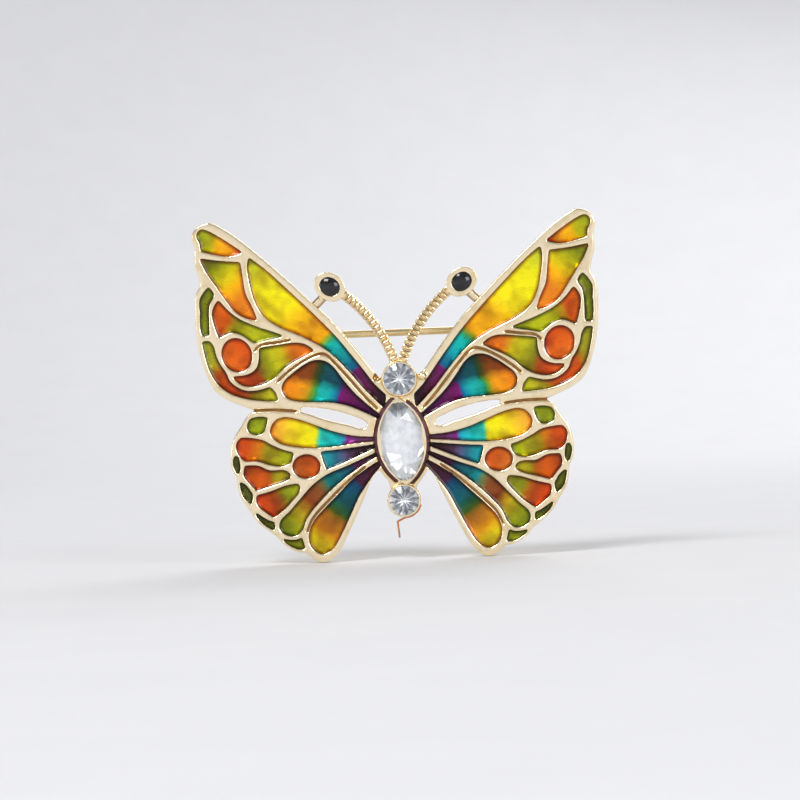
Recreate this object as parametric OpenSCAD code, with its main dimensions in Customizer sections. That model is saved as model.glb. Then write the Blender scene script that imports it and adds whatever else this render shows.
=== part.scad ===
// Butterfly brooch: a cast and gold-plated frame with enamelled cells, three set stones,
// two antennae and a hinged pin stem with a turning safety catch on its back.
// Millimetres. The front faces -Y, up is +Z, and the pin stem lies along X through the origin.

/* [Casting] */
// Distance from the pin stem's axis to the back of the casting
back_gap = 2.6; // [2.4:0.1:3.2]
// Thickness of the floor under the enamel
floor_t = 0.8; // [0.6:0.05:1.2]
// Height of the ribs above the floor
rib_h = 0.8; // [0.5:0.05:1.2]
// Depth of the enamel's surface below the rib tops
enamel_sink = 0.4; // [0.2:0.05:0.5]
// Width of the grooves engraved along the broad ribs
groove_w = 0.3; // [0.2:0.02:0.36]
// Depth of those grooves
groove_d = 0.5; // [0.2:0.05:0.6]
// Depth of the hollows that lighten the back
hollow_d = 0.25; // [0.1:0.05:0.35]

/* [Stones] */
// Outside radius of the head stone's cup
head_r = 2.35; // [2.2:0.05:2.6]
// Outside radius of the tail stone's cup
tail_r = 2.2; // [2.0:0.05:2.4]
// Wall of the round cups at the girdle
cup_wall = 0.16; // [0.14:0.01:0.3]
// Length of the body's boat-shaped cup
body_l = 12; // [11:0.1:13]
// Width of the body's boat-shaped cup
body_w = 6.6; // [6:0.1:7]
// Lean of the body stone to the wearer's right
body_tilt = 4; // [0:0.5:6]
// Width of the enamelled channel round the body's cup
surround_w = 0.5; // [0.4:0.05:0.9]

/* [Antennae] */
// Radius of an antenna
antenna_r = 0.62; // [0.45:0.01:0.75]
// Long half-axis of the antenna's oval cup
oval_a = 2.25; // [2:0.05:2.5]
// Short half-axis of the antenna's oval cup
oval_b = 1.85; // [1.6:0.05:2]
// Radius of the thin tail wire
wire_r = 0.135; // [0.1:0.005:0.2]

/* [Pin and catch] */
// Radius of the pin stem
stem_r = 0.5; // [0.45:0.01:0.55]
// Distance of the hinge from the middle
hinge_x = 13.5; // [13:0.1:14.5]
// Radius of the hinge rivet
rivet_r = 0.35; // [0.3:0.01:0.4]
// Radial play of the stem's eye on the rivet
eye_play = 0.03; // [0.02:0.01:0.08]
// Middle of the catch housing
catch_x = 12; // [11.8:0.1:12.6]
// Inside radius of the catch drum
drum_r = 0.6; // [0.56:0.02:0.66]
// Radial play of the drum in its housing
drum_play = 0.05; // [0.03:0.01:0.09]
// Width of the slot that the stem passes through
slot_w = 1.3; // [1.15:0.05:1.4]

/* [Hidden] */
y_back = -back_gap;
y_floor = y_back - floor_t;
y_top = y_floor - rib_h;
enamel_h = rib_h - enamel_sink;
pad_t = 0.5;
y_pad = y_back + pad_t;
head_at = [0, -6.4];
body_at = [0, -14.8];
tail_at = [0, -22.8];
neck_z = -3.9;
oval_at = [8.9, 6.4];
oval_turn = 35;
drum_out = drum_r + 0.4;
housing_in = drum_out + drum_play;
housing_out = housing_in + 0.45;
housing_half = 1.05;
flange_r = 1.45;
taper_x = 9.5;
tip_x = 14.7;
gold = "#e8d5a8";
old_gold = "#d9b878";
steel = "#d8d2c0";
glass_clear = "#e9f2f4";
$fn = 48;

// ---- Outlines of the right wing pair, [x, z]. A third value of 1 marks a sharp corner. ----

fore_wing = [
    [1.0, -8.0, 1], [3.0, -5.7], [5.8, -1.9], [8.9, 1.9], [12.1, 5.1], [17.6, 10.4], [23.3, 15.0],
    [25.0, 15.7], [26.7, 15.0], [27.3, 13.9], [27.0, 12.4], [27.0, 10.0], [26.4, 7.3], [27.0, 6.2],
    [27.2, 4.8], [27.1, 0.0], [26.6, -2.8], [25.8, -5.4], [24.9, -7.1], [23.5, -8.2], [21.6, -9.1],
    [19.9, -9.8, 1], [16.0, -10.1], [8.0, -11.6], [1.0, -13.5, 1]
];
hind_wing = [
    [1.0, -12.0, 1], [8.0, -10.8], [16.0, -9.8], [19.9, -10.0, 1], [20.9, -10.8], [21.6, -11.9],
    [22.6, -13.4], [23.1, -15.0], [23.2, -16.6], [23.0, -18.0], [22.5, -18.8, 1], [22.4, -20.1],
    [22.1, -21.5], [21.1, -23.1, 1], [20.5, -24.1], [19.6, -25.3], [18.4, -26.3], [17.3, -27.1, 1],
    [16.3, -28.3], [14.7, -29.2], [13.4, -29.4, 1], [12.5, -30.3], [11.0, -30.8], [9.8, -30.2],
    [8.7, -28.9], [7.7, -27.0], [6.3, -24.2], [5.0, -21.4], [3.7, -18.9], [1.0, -17.6, 1]
];
wing_slit = [
    [13.6, -10.0], [11.8, -9.8], [9.0, -10.3], [6.1, -11.3], [4.6, -12.3], [4.9, -12.8],
    [7.1, -12.3], [10.0, -11.5], [12.4, -10.6]
];

// Fore wing cells, from the tip inwards
tip_cell = [
    [26.6, 14.0], [26.0, 14.8], [25.2, 14.6], [23.3, 13.5], [20.5, 11.5, 1], [22.3, 11.1],
    [24.3, 11.4], [26.1, 11.9, 1], [26.2, 13.0]
];
kite_cell = [
    [26.3, 10.9, 1], [23.3, 10.4], [20.9, 10.2, 1], [20.7, 8.6], [20.3, 5.8], [19.4, 3.8],
    [18.9, 2.3, 1], [20.2, 2.6], [21.7, 3.5], [22.9, 5.1], [24.4, 7.4], [25.5, 9.1]
];
long_cell = [
    [19.7, 10.8, 1], [17.7, 9.2], [15.1, 6.7], [12.9, 4.5], [10.4, 1.9], [8.5, -0.2], [6.7, -2.5],
    [4.9, -4.9], [3.3, -7.1], [1.9, -8.5, 1], [2.1, -10.3, 1], [4.7, -7.6], [6.8, -5.0], [9.0, -2.6],
    [10.9, -1.2], [13.3, 0.1], [16.1, 1.4], [17.9, 2.8], [19.0, 4.7], [19.6, 7.0], [19.9, 9.6]
];
fish_cell = [
    [24.0, 5.2, 1], [24.6, 4.4], [24.9, 3.4], [24.7, 2.0], [24.1, 0.1, 1], [23.3, 0.5],
    [22.4, 0.8], [21.2, 0.5], [20.3, -0.1], [19.4, -0.7], [18.1, -0.5], [15.3, 0.0, 1],
    [17.1, 0.7], [18.5, 1.2], [19.9, 1.8], [21.1, 2.4], [22.2, 3.2], [23.2, 4.2]
];
sickle_cell = [
    [18.8, -1.5, 1], [16.2, -1.2], [13.7, -1.0], [12.4, -1.3], [11.4, -2.1, 1], [12.5, -2.7],
    [14.0, -3.4], [15.5, -4.3], [16.8, -5.5], [18.3, -6.3], [19.8, -6.6], [21.4, -6.3],
    [22.5, -5.2, 1], [21.4, -5.2], [20.1, -4.9], [19.2, -4.2], [18.8, -2.9]
];
edge_cell = [
    [25.3, 7.0, 1], [24.6, 6.0], [25.2, 4.8], [25.4, 3.3], [25.4, 0.5, 1], [26.3, 0.4, 1],
    [26.5, 1.2], [26.5, 3.6], [26.5, 5.3], [26.0, 6.2]
];
crescent_cell = [
    [26.4, -0.3, 1], [25.4, -0.3, 1], [24.9, -1.1], [24.6, -2.4], [24.0, -3.7], [23.4, -4.6],
    [22.9, -5.8], [21.9, -6.7], [20.8, -7.2], [19.8, -7.3], [18.6, -7.1], [17.5, -6.8, 1],
    [16.8, -7.6], [16.5, -8.7, 1], [18.4, -8.6], [21.2, -8.1], [23.1, -7.3], [24.4, -6.2],
    [25.3, -4.8], [25.9, -3.0]
];
lobe_cell = [
    [15.9, -7.1], [15.6, -6.2], [14.4, -5.1], [13.1, -4.2], [11.6, -3.5], [10.3, -3.5],
    [9.2, -4.1], [7.7, -6.1], [6.3, -7.9], [4.6, -9.6], [2.7, -11.2, 1], [2.9, -11.7, 1],
    [5.2, -10.5], [7.0, -9.7], [9.0, -9.2], [11.7, -9.0], [14.0, -8.8], [15.3, -8.3]
];

// Hind wing cells, from the top down
hind_top_cell = [
    [17.7, -13.0], [17.1, -11.5], [16.0, -11.0], [13.7, -11.4], [11.9, -12.1], [9.1, -13.2],
    [6.2, -13.9], [3.6, -14.1, 1], [3.6, -14.6, 1], [6.3, -14.8], [9.2, -15.1], [12.0, -15.2],
    [14.8, -14.9], [16.8, -14.2]
];
hind_outer_cell = [
    [22.3, -14.2], [21.7, -13.5, 1], [18.9, -13.9], [17.7, -14.6], [16.0, -15.4], [14.7, -15.8, 1],
    [15.1, -17.0], [16.2, -17.5], [17.8, -17.3], [19.6, -16.7], [21.3, -16.6], [22.2, -15.5]
];
hind_petal_cell = [
    [11.0, -15.8, 1], [8.2, -15.6], [3.6, -15.1, 1], [3.6, -15.5, 1], [6.4, -16.7], [8.3, -17.5],
    [10.3, -18.2, 1], [10.6, -17.3]
];
hind_fan_cell = [
    [21.3, -17.3, 1], [19.5, -17.4], [18.0, -18.1], [15.8, -18.2], [15.2, -18.9], [15.9, -19.5],
    [17.9, -20.1], [19.9, -20.7, 1], [20.9, -19.5], [21.5, -18.6]
];
hind_wedge_cell = [
    [19.9, -21.4, 1], [17.9, -20.9], [15.8, -20.2], [14.2, -20.0, 1], [14.0, -20.7],
    [15.1, -22.2], [16.4, -23.5], [17.7, -24.4, 1], [18.8, -23.6], [19.8, -22.6]
];
hind_long_cell = [
    [16.9, -26.0], [16.1, -26.8], [14.9, -27.0], [13.9, -26.2], [13.2, -24.6], [11.3, -22.4],
    [9.4, -20.6], [6.4, -18.4], [3.3, -16.6, 1], [3.5, -16.2, 1], [7.3, -17.8], [10.4, -19.0],
    [12.4, -20.4], [14.0, -22.1], [15.6, -23.8], [16.8, -25.0]
];
hind_drop_cell = [
    [13.0, -27.8], [12.4, -29.0], [11.2, -29.6], [9.9, -28.9], [8.7, -27.1], [7.2, -24.2],
    [5.8, -21.5], [2.9, -17.9, 1], [3.3, -17.4, 1], [6.5, -19.4], [8.8, -21.6], [11.0, -23.7],
    [12.6, -25.6]
];
scallops = [
    [[20.5, -11.2], [19.2, -10.8], [18.0, -10.9, 1], [18.2, -11.9], [18.7, -12.9], [19.3, -13.2, 1],
     [20.6, -12.7]],
    [[22.8, -16.3], [22.4, -15.9], [22.0, -17.1], [22.0, -17.9], [22.3, -18.5, 1], [22.8, -17.4]],
    [[22.1, -19.4, 1], [21.2, -20.0], [20.4, -21.3, 1], [20.6, -22.6, 1], [21.7, -21.4]],
    [[20.3, -23.5, 1], [18.4, -24.8], [17.6, -25.1, 1], [17.6, -26.2, 1], [18.8, -25.5],
     [19.7, -24.6]],
    [[16.8, -27.3, 1], [14.9, -27.6], [14.0, -27.3, 1], [13.6, -28.8, 1], [14.6, -28.8],
     [15.9, -28.1]]
];

// Middle lines of the grooves along the broad ribs
grooves = [
    [[3.0, -10.4], [4.7, -8.6], [6.8, -6.0], [8.6, -3.9], [10.0, -2.6], [11.5, -2.8], [13.3, -3.7],
     [15.1, -4.9], [16.6, -6.2]],
    [[14.4, -0.5], [16.4, -0.8], [18.6, -1.1], [19.5, -1.9]],
    [[5.0, -18.0], [7.6, -20.0], [10.2, -22.4], [12.4, -24.7], [13.3, -26.6]],
    [[20.2, -9.9], [17.0, -9.9], [13.9, -10.2]]
];

// ---- Curves ----

function unit(v) = v / norm(v);
function flat(p) = [p[0], p[1]];

// Heading of a closed loop at point i, or none at a sharp corner
function heading(p, i) =
    let (n = len(p), a = flat(p[(i + n - 1) % n]), b = flat(p[i]), c = flat(p[(i + 1) % n]))
    p[i][2] == 1 ? [0, 0] : unit(unit(b - a) + unit(c - b));

// Point on the cubic that leaves a towards u and reaches b along v
function between(a, b, u, v, t) =
    let (l = norm(b - a))
    (2 * t * t * t - 3 * t * t + 1) * a + (t * t * t - 2 * t * t + t) * l * u
    + (3 * t * t - 2 * t * t * t) * b + (t * t * t - t * t) * l * v;

// Closed smooth loop through the points p, with n steps from each to the next
function loop(p, n = 4) = [
    for (i = [0 : len(p) - 1], k = [0 : n - 1])
        let (j = (i + 1) % len(p), straight = p[i][2] == 1 && p[j][2] == 1)
        if (k == 0 || !straight)
            between(flat(p[i]), flat(p[j]), heading(p, i), heading(p, j), k / n)
];

// Open smooth line through the points p
function line(p, n = 4) =
    let (last = len(p) - 1,
         dir = [for (i = [0 : last]) unit(p[min(i + 1, last)] - p[max(i - 1, 0)])])
    concat([for (i = [0 : last - 1], k = [0 : n - 1])
                between(p[i], p[i + 1], dir[i], dir[i + 1], k / n)], [p[last]]);

// Outline of a strip of width w along the line p
function strip(p, w) =
    let (last = len(p) - 1,
         side = [for (i = [0 : last])
                    let (d = unit(p[min(i + 1, last)] - p[max(i - 1, 0)])) [-d[1], d[0]] * w / 2])
    concat([for (i = [0 : last]) p[i] + side[i]], [for (i = [last : -1 : 0]) p[i] - side[i]]);

// Oval with half-axes a and b, turned by an angle
function oval(centre, a, b, turn = 0, n = 40) = [
    for (i = [0 : n - 1])
        let (s = 360 * i / n, x = a * cos(s), z = b * sin(s))
        centre + [x * cos(turn) - z * sin(turn), x * sin(turn) + z * cos(turn)]
];

// Boat shape of two arcs, length l along z and width w
function boat(l, w, n = 14) =
    let (r = (l * l + w * w) / (4 * w), half = asin(l / 2 / r))
    concat([for (i = [0 : n - 1]) let (s = -half + 2 * half * i / n) [r * cos(s) - r + w / 2, r * sin(s)]],
           [for (i = [0 : n - 1]) let (s = -half + 2 * half * i / n) [-r * cos(s) + r - w / 2, -r * sin(s)]]);

fore_spot = oval([21.8, -2.3], 2.3, 2.0, 70);
hind_spot = oval([13.0, -17.7], 1.85, 1.6, 0);

// ---- Shared shapes ----

// Prism of a flat shape in x and z, from y towards the front
module prism(y, h) {
    translate([0, y, 0])
        rotate([90, 0, 0])
            linear_extrude(height = h)
                children();
}

// The same shape on both wings
module both() {
    children();
    mirror([1, 0, 0])
        children();
}

module wings() {
    polygon(loop(fore_wing));
    polygon(loop(hind_wing));
}

module cells() {
    for (p = [tip_cell, kite_cell, long_cell, fish_cell, sickle_cell, edge_cell, crescent_cell,
              lobe_cell, hind_top_cell, hind_outer_cell, hind_petal_cell, hind_fan_cell,
              hind_wedge_cell, hind_long_cell, hind_drop_cell])
        polygon(loop(p));
    for (p = scallops)
        polygon(loop(p));
    polygon(fore_spot);
    polygon(hind_spot);
}

module boat_shape(grow = 0) {
    translate(body_at)
        rotate(body_tilt)
            polygon(boat(body_l + grow * 2, body_w + grow * 2));
}

// Channel on both sides of the body's cup, which the roots of the cells open into
module surround() {
    difference() {
        boat_shape(surround_w);
        boat_shape();
        translate(head_at) circle(r = head_r + 0.3);
        translate(tail_at) circle(r = tail_r + 0.3);
        for (z = [head_at[1], tail_at[1]])
            translate([0, z]) square([1.6, 6.4], center = true);
    }
}

module frame_outline() {
    difference() {
        union() {
            both() wings();
            translate(head_at) circle(r = head_r + 0.1);
            translate(tail_at) circle(r = tail_r + 0.1);
            boat_shape(surround_w + 0.5);
            polygon([[-2.4, -8], [2.4, -8], [3, -17], [1.5, -22], [-1.5, -22], [-3, -17]]);
            polygon([[-1.5, -5], [1.5, -5], [1.2, neck_z], [-1.2, neck_z]]);
        }
        both() polygon(loop(wing_slit));
    }
}

// Wing outline drawn towards a centre, less a block left full for the pin's fittings
module hollow(outline, centre, share) {
    difference() {
        polygon([for (p = loop(outline)) centre + share * (p - centre)]);
        translate([hinge_x, 0]) square([8.4, 5.6], center = true);
        polygon([[0, -4], [7, -4], [5.4, -12], [7, -19], [5.2, -24], [0, -24]]);
        polygon(loop([for (p = wing_slit) [9, -11.2, 0] + 1.25 * ([p[0], p[1], 0] - [9, -11.2, 0])]));
    }
}

module enamel(points) {
    color("#c86a10")
        prism(y_floor, enamel_h)
            polygon(points);
}

// Round stone: pointed back, thin girdle and bevelled top, on an axis towards the front
module round_stone(at, r) {
    translate([at[0], y_floor - 0.35, at[1]])
        rotate([90, 0, 0])
            rotate_extrude()
                polygon([[0, 0], [r, 1.3], [r, 1.42], [0.58 * r, 2.0], [0, 2.0]]);
}

// Straight-sided cup with its lip closed over the stone
module round_cup(at, r, stone_r) {
    difference() {
        translate([at[0], y_floor, at[1]])
            rotate([90, 0, 0])
                cylinder(r = r, h = 1.82);
        round_stone(at, stone_r);
    }
}

// Rod of the antenna's radius on one arc, from under the head cup out to the oval cup
module antenna_rod() {
    foot = [0.5, -4.1];
    tip = [7.2, 5.4];
    turn = 34;
    chord = tip - foot;
    bend = norm(chord) / (2 * sin(turn / 2));
    side = [chord[1], -chord[0]] / norm(chord);
    centre = (foot + tip) / 2 + bend * cos(turn / 2) * side;
    from = atan2(tip[1] - centre[1], tip[0] - centre[0]);
    translate([centre[0], 0, centre[1]])
        rotate([90, 0, 0])
            rotate([0, 0, from])
                rotate_extrude(angle = turn)
                    translate([bend, 0])
                        circle(r = antenna_r);
}

module oval_prism(a, b, y, h) {
    prism(y, h)
        polygon(oval(oval_at, a, b, oval_turn));
}

module half_antenna() {
    difference() {
        translate([0, y_floor - 0.2, 0])
            antenna_rod();
        translate([-2, y_floor - 2, neck_z - 3])
            cube([6, 4, 3]);
        oval_prism(oval_a, oval_b, y_back + 1, 4);
    }
}

module cabochon() {
    intersection() {
        oval_prism(1.45, 1.15, y_floor - 0.6, 2);
        translate([oval_at[0], y_floor + 0.6, oval_at[1]])
            sphere(r = 2.45, $fn = 96);
    }
}

module oval_cup() {
    difference() {
        union() {
            oval_prism(oval_a, oval_b, y_back - 0.2, 2.05);
            translate([9.7, y_floor - 0.1, 5.2])
                rotate([0, 134, 0])
                    cylinder(r = 0.6, h = 2.2);
        }
        cabochon();
        prism(y_back + 1, 4)
            polygon(loop(fore_wing));
    }
}

// Sleeve with a slot towards the back, its axis along X through the origin
module slotted_sleeve(x0, x1, r_in, r_out) {
    difference() {
        translate([x0, 0, 0])
            rotate([0, 90, 0])
                cylinder(r = r_out, h = x1 - x0);
        translate([x0 - 1, 0, 0])
            rotate([0, 90, 0])
                cylinder(r = r_in, h = x1 - x0 + 2);
        translate([x0 - 1, 0, -slot_w / 2])
            cube([x1 - x0 + 2, r_out + 1, slot_w]);
    }
}

module hinge_ear(z) {
    difference() {
        union() {
            translate([-hinge_x, 0, z])
                cylinder(r = 0.88, h = 0.45);
            translate([-hinge_x - 0.88, y_pad, z])
                cube([1.76, -y_pad, 0.45]);
        }
        translate([-hinge_x, 0, z - 1])
            cylinder(r = rivet_r, h = 3);
    }
}

// ---- Sub-parts ----

module cast_frame() {
    color(gold)
        difference() {
            union() {
                prism(y_back, floor_t)
                    frame_outline();
                prism(y_floor, rib_h)
                    difference() {
                        frame_outline();
                        both() cells();
                        surround();
                        translate(head_at) circle(r = head_r);
                        translate(tail_at) circle(r = tail_r);
                        boat_shape();
                    }
                both()
                    translate([3.05, y_top, -6.1])
                        sphere(r = 0.6);
            }
            prism(y_top + groove_d, groove_d + 1)
                both()
                    for (g = grooves)
                        polygon(strip(line(g), groove_w));
            prism(y_back + 1, 1 + hollow_d)
                both() {
                    hollow(fore_wing, [17, 2], 0.86);
                    hollow(hind_wing, [14, -19.5], 0.84);
                }
        }
}

module left_tip_cell() mirror([1, 0, 0]) enamel(loop(tip_cell));
module right_tip_cell() enamel(loop(tip_cell));
module left_kite_cell() mirror([1, 0, 0]) enamel(loop(kite_cell));
module right_kite_cell() enamel(loop(kite_cell));
module left_long_cell() mirror([1, 0, 0]) enamel(loop(long_cell));
module right_long_cell() enamel(loop(long_cell));
module left_fish_cell() mirror([1, 0, 0]) enamel(loop(fish_cell));
module right_fish_cell() enamel(loop(fish_cell));
module left_spot_cell() mirror([1, 0, 0]) enamel(fore_spot);
module right_spot_cell() enamel(fore_spot);
module left_sickle_cell() mirror([1, 0, 0]) enamel(loop(sickle_cell));
module right_sickle_cell() enamel(loop(sickle_cell));
module left_edge_cell() mirror([1, 0, 0]) enamel(loop(edge_cell));
module right_edge_cell() enamel(loop(edge_cell));
module left_crescent_cell() mirror([1, 0, 0]) enamel(loop(crescent_cell));
module right_crescent_cell() enamel(loop(crescent_cell));
module left_lobe_cell() mirror([1, 0, 0]) enamel(loop(lobe_cell));
module right_lobe_cell() enamel(loop(lobe_cell));
module left_hind_top_cell() mirror([1, 0, 0]) enamel(loop(hind_top_cell));
module right_hind_top_cell() enamel(loop(hind_top_cell));
module left_hind_outer_cell() mirror([1, 0, 0]) enamel(loop(hind_outer_cell));
module right_hind_outer_cell() enamel(loop(hind_outer_cell));
module left_hind_fan_cell() mirror([1, 0, 0]) enamel(loop(hind_fan_cell));
module right_hind_fan_cell() enamel(loop(hind_fan_cell));
module left_hind_spot_cell() mirror([1, 0, 0]) enamel(hind_spot);
module right_hind_spot_cell() enamel(hind_spot);
module left_hind_petal_cell() mirror([1, 0, 0]) enamel(loop(hind_petal_cell));
module right_hind_petal_cell() enamel(loop(hind_petal_cell));
module left_hind_wedge_cell() mirror([1, 0, 0]) enamel(loop(hind_wedge_cell));
module right_hind_wedge_cell() enamel(loop(hind_wedge_cell));
module left_hind_long_cell() mirror([1, 0, 0]) enamel(loop(hind_long_cell));
module right_hind_long_cell() enamel(loop(hind_long_cell));
module left_hind_drop_cell() mirror([1, 0, 0]) enamel(loop(hind_drop_cell));
module right_hind_drop_cell() enamel(loop(hind_drop_cell));

module right_scallop_cells() {
    for (p = scallops)
        enamel(loop(p));
}

module left_scallop_cells() {
    mirror([1, 0, 0])
        right_scallop_cells();
}

module body_surround() {
    color("#5a1045")
        prism(y_floor, enamel_h)
            difference() {
                surround();
                both() cells();
            }
}

module head_cup() color(gold) round_cup(head_at, head_r, head_r - cup_wall);
module head_stone() color(glass_clear) round_stone(head_at, head_r - cup_wall);
module tail_cup() color(gold) round_cup(tail_at, tail_r, tail_r - cup_wall);
module tail_stone() color(glass_clear) round_stone(tail_at, tail_r - cup_wall);

// Boat-shaped stone with a dome curved along and across its length
module body_stone() {
    l = body_l - 0.5;
    w = body_w - 0.5;
    rise = 1.3;
    across = (w * w / 4 + rise * rise) / (2 * rise);
    along = (l * l / 4 + rise * rise) / (2 * rise);
    color(glass_clear)
        translate([body_at[0], y_floor - 0.3, body_at[1]])
            rotate([0, -body_tilt, 0])
                intersection() {
                    prism(0, 4)
                        polygon(boat(l, w));
                    translate([0, across - 2.7, -9])
                        cylinder(r = across, h = 18, $fn = 96);
                    translate([-9, along - 2.7, 0])
                        rotate([0, 90, 0])
                            cylinder(r = along, h = 18, $fn = 96);
                }
}

// Boat-shaped cup, cut round where it meets the round cups above and below it
module body_cup() {
    color(gold)
        difference() {
            prism(y_floor, 1.95)
                difference() {
                    boat_shape();
                    translate(head_at) circle(r = head_r + 0.03);
                    translate(tail_at) circle(r = tail_r + 0.03);
                }
            body_stone();
        }
}

module right_antenna() color(old_gold) half_antenna();
module left_antenna() color(old_gold) mirror([1, 0, 0]) half_antenna();
module right_oval_cup() color(gold) oval_cup();
module left_oval_cup() color(gold) mirror([1, 0, 0]) oval_cup();
module right_black_oval() color("#101012") cabochon();
module left_black_oval() color("#101012") mirror([1, 0, 0]) cabochon();

// Thin wire round the tail cup, kinked and hanging free
module tail_wire() {
    ring = tail_r + 0.1;
    from = -88;
    kink = [-1.0, -25.6];
    leave = tail_at + ring * [cos(from), sin(from)];
    slant = kink - leave;
    drop = [0.2, -2.2];
    color("#c8895a")
        difference() {
            translate([0, y_top - 0.28, 0]) {
                translate([tail_at[0], 0, tail_at[1]])
                    rotate([90, 0, 0])
                        rotate([0, 0, from])
                            rotate_extrude(angle = 72)
                                translate([ring, 0])
                                    circle(r = wire_r, $fn = 24);
                translate([leave[0], 0, leave[1]])
                    rotate([0, atan2(slant[0], slant[1]), 0])
                        cylinder(r = wire_r, h = norm(slant), $fn = 24);
                translate([kink[0], 0, kink[1]]) {
                    sphere(r = wire_r * 1.05, $fn = 24);
                    rotate([0, atan2(drop[0], drop[1]), 0])
                        cylinder(r = wire_r, h = norm(drop), $fn = 24);
                }
            }
            translate([tail_at[0], 0, tail_at[1]])
                rotate([90, 0, 0])
                    cylinder(r = tail_r, h = 9);
        }
}

module hinge_bracket() {
    color(old_gold) {
        translate([-hinge_x - 1.9, y_back, -2.1])
            cube([4.0, pad_t, 4.2]);
        hinge_ear(0.62);
        hinge_ear(-1.07);
    }
}

module hinge_rivet() {
    color(steel)
        translate([-hinge_x, 0, 0]) {
            cylinder(r = rivet_r, h = 2.14, center = true);
            translate([0, 0, 1.07]) cylinder(r = 0.6, h = 0.25);
            translate([0, 0, -1.32]) cylinder(r = 0.6, h = 0.25);
        }
}

// Wire stem with a bored eye and a ground point
module pin_stem() {
    color(steel)
        difference() {
            union() {
                translate([-hinge_x, 0, -0.55])
                    cylinder(r = 0.92, h = 1.1);
                rotate([0, 90, 0])
                    rotate_extrude()
                        polygon([[0, -hinge_x], [stem_r, -hinge_x], [stem_r, taper_x],
                                 [0.08, tip_x], [0, tip_x]]);
            }
            translate([-hinge_x, 0, -2])
                cylinder(r = rivet_r + eye_play, h = 4);
        }
}

module catch_housing() {
    x0 = catch_x - housing_half;
    color(old_gold) {
        translate([catch_x - 2.0, y_back, -2.1])
            cube([4.0, pad_t, 4.2]);
        slotted_sleeve(x0, x0 + 2 * housing_half, housing_in, housing_out);
        difference() {
            translate([x0, y_pad, -0.9])
                cube([2 * housing_half, -y_pad - 0.6, 1.8]);
            translate([x0 - 1, 0, 0])
                rotate([0, 90, 0])
                    cylinder(r = housing_in, h = 2 * housing_half + 2);
        }
    }
}

// Drum with a flange at each end and a thumb tab, shown with its slot open to the back
module catch_lever() {
    x0 = catch_x - housing_half;
    x1 = catch_x + housing_half;
    color(old_gold) {
        slotted_sleeve(x0 - 0.7, x1 + 0.8, drum_r, drum_out);
        slotted_sleeve(x0 - 0.7, x0 - 0.1, drum_out - 0.1, flange_r);
        slotted_sleeve(x1 + 0.1, x1 + 0.8, drum_out - 0.1, flange_r);
        translate([x1 + 0.1, -0.35, -2.7])
            cube([0.7, 0.7, 1.6]);
    }
}

cast_frame();
left_tip_cell();
right_tip_cell();
left_kite_cell();
right_kite_cell();
left_long_cell();
right_long_cell();
left_fish_cell();
right_fish_cell();
left_spot_cell();
right_spot_cell();
left_sickle_cell();
right_sickle_cell();
left_edge_cell();
right_edge_cell();
left_crescent_cell();
right_crescent_cell();
left_lobe_cell();
right_lobe_cell();
left_hind_top_cell();
right_hind_top_cell();
left_hind_outer_cell();
right_hind_outer_cell();
left_hind_fan_cell();
right_hind_fan_cell();
left_hind_spot_cell();
right_hind_spot_cell();
left_hind_petal_cell();
right_hind_petal_cell();
left_hind_wedge_cell();
right_hind_wedge_cell();
left_hind_long_cell();
right_hind_long_cell();
left_hind_drop_cell();
right_hind_drop_cell();
left_scallop_cells();
right_scallop_cells();
body_surround();
head_cup();
head_stone();
body_cup();
body_stone();
tail_cup();
tail_stone();
left_antenna();
right_antenna();
left_oval_cup();
right_oval_cup();
left_black_oval();
right_black_oval();
tail_wire();
hinge_bracket();
hinge_rivet();
pin_stem();
catch_housing();
catch_lever();
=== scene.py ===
"""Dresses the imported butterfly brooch: cast gold ribs, poured enamel, set stones, antennae and pin."""
import logging
import math
from dataclasses import dataclass
from enum import Enum
from functools import partial
from typing import Any, Callable, Optional, Sequence

import bpy
import numpy as np
from bpy.types import Material, Node, NodeSocket, NodeTree, Object
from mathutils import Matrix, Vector


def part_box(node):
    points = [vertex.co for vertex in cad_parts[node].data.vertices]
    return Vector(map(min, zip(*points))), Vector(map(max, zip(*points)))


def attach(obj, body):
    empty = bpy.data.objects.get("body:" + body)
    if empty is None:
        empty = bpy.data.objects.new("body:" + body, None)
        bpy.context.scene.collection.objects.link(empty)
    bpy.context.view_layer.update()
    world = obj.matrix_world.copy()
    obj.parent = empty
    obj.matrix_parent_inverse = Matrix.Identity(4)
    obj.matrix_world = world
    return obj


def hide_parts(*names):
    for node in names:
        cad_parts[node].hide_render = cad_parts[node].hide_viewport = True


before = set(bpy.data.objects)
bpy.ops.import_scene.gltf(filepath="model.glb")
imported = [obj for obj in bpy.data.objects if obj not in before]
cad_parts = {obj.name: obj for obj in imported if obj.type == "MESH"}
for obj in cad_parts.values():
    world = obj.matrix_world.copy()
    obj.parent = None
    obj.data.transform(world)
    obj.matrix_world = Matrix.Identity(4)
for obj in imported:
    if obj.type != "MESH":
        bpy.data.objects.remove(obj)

# A millimetre in metres. Sizes below are in millimetres unless they say otherwise.
MM = 0.001
# Levels closer than this are one level.
NEAR = 0.01
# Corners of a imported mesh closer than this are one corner.
MERGE = 0.004
# Faces that turn by less than this, in degrees, are one face.
FLAT = 0.4
# Share of its normal that a face turned to the front or back has along y.
FACING = 0.9
# Most of a noise lies between these two values.
NOISE = (0.3, 0.7)
LOG = logging.getLogger("brooch")
Point = tuple[float, float]
Place = tuple[float, float, float]


class Body(Enum):
    """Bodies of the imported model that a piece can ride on."""

    BROOCH = "brooch"
    STEM = "pin_stem"
    LEVER = "catch_lever"


class Side(Enum):
    """The two halves of the brooch, with the sign of x on each."""

    LEFT = -1
    RIGHT = 1

    @property
    def label(self) -> str:
        """Word that starts a node's name on this side."""
        return self.name.lower()


# ---- material tools


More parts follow.
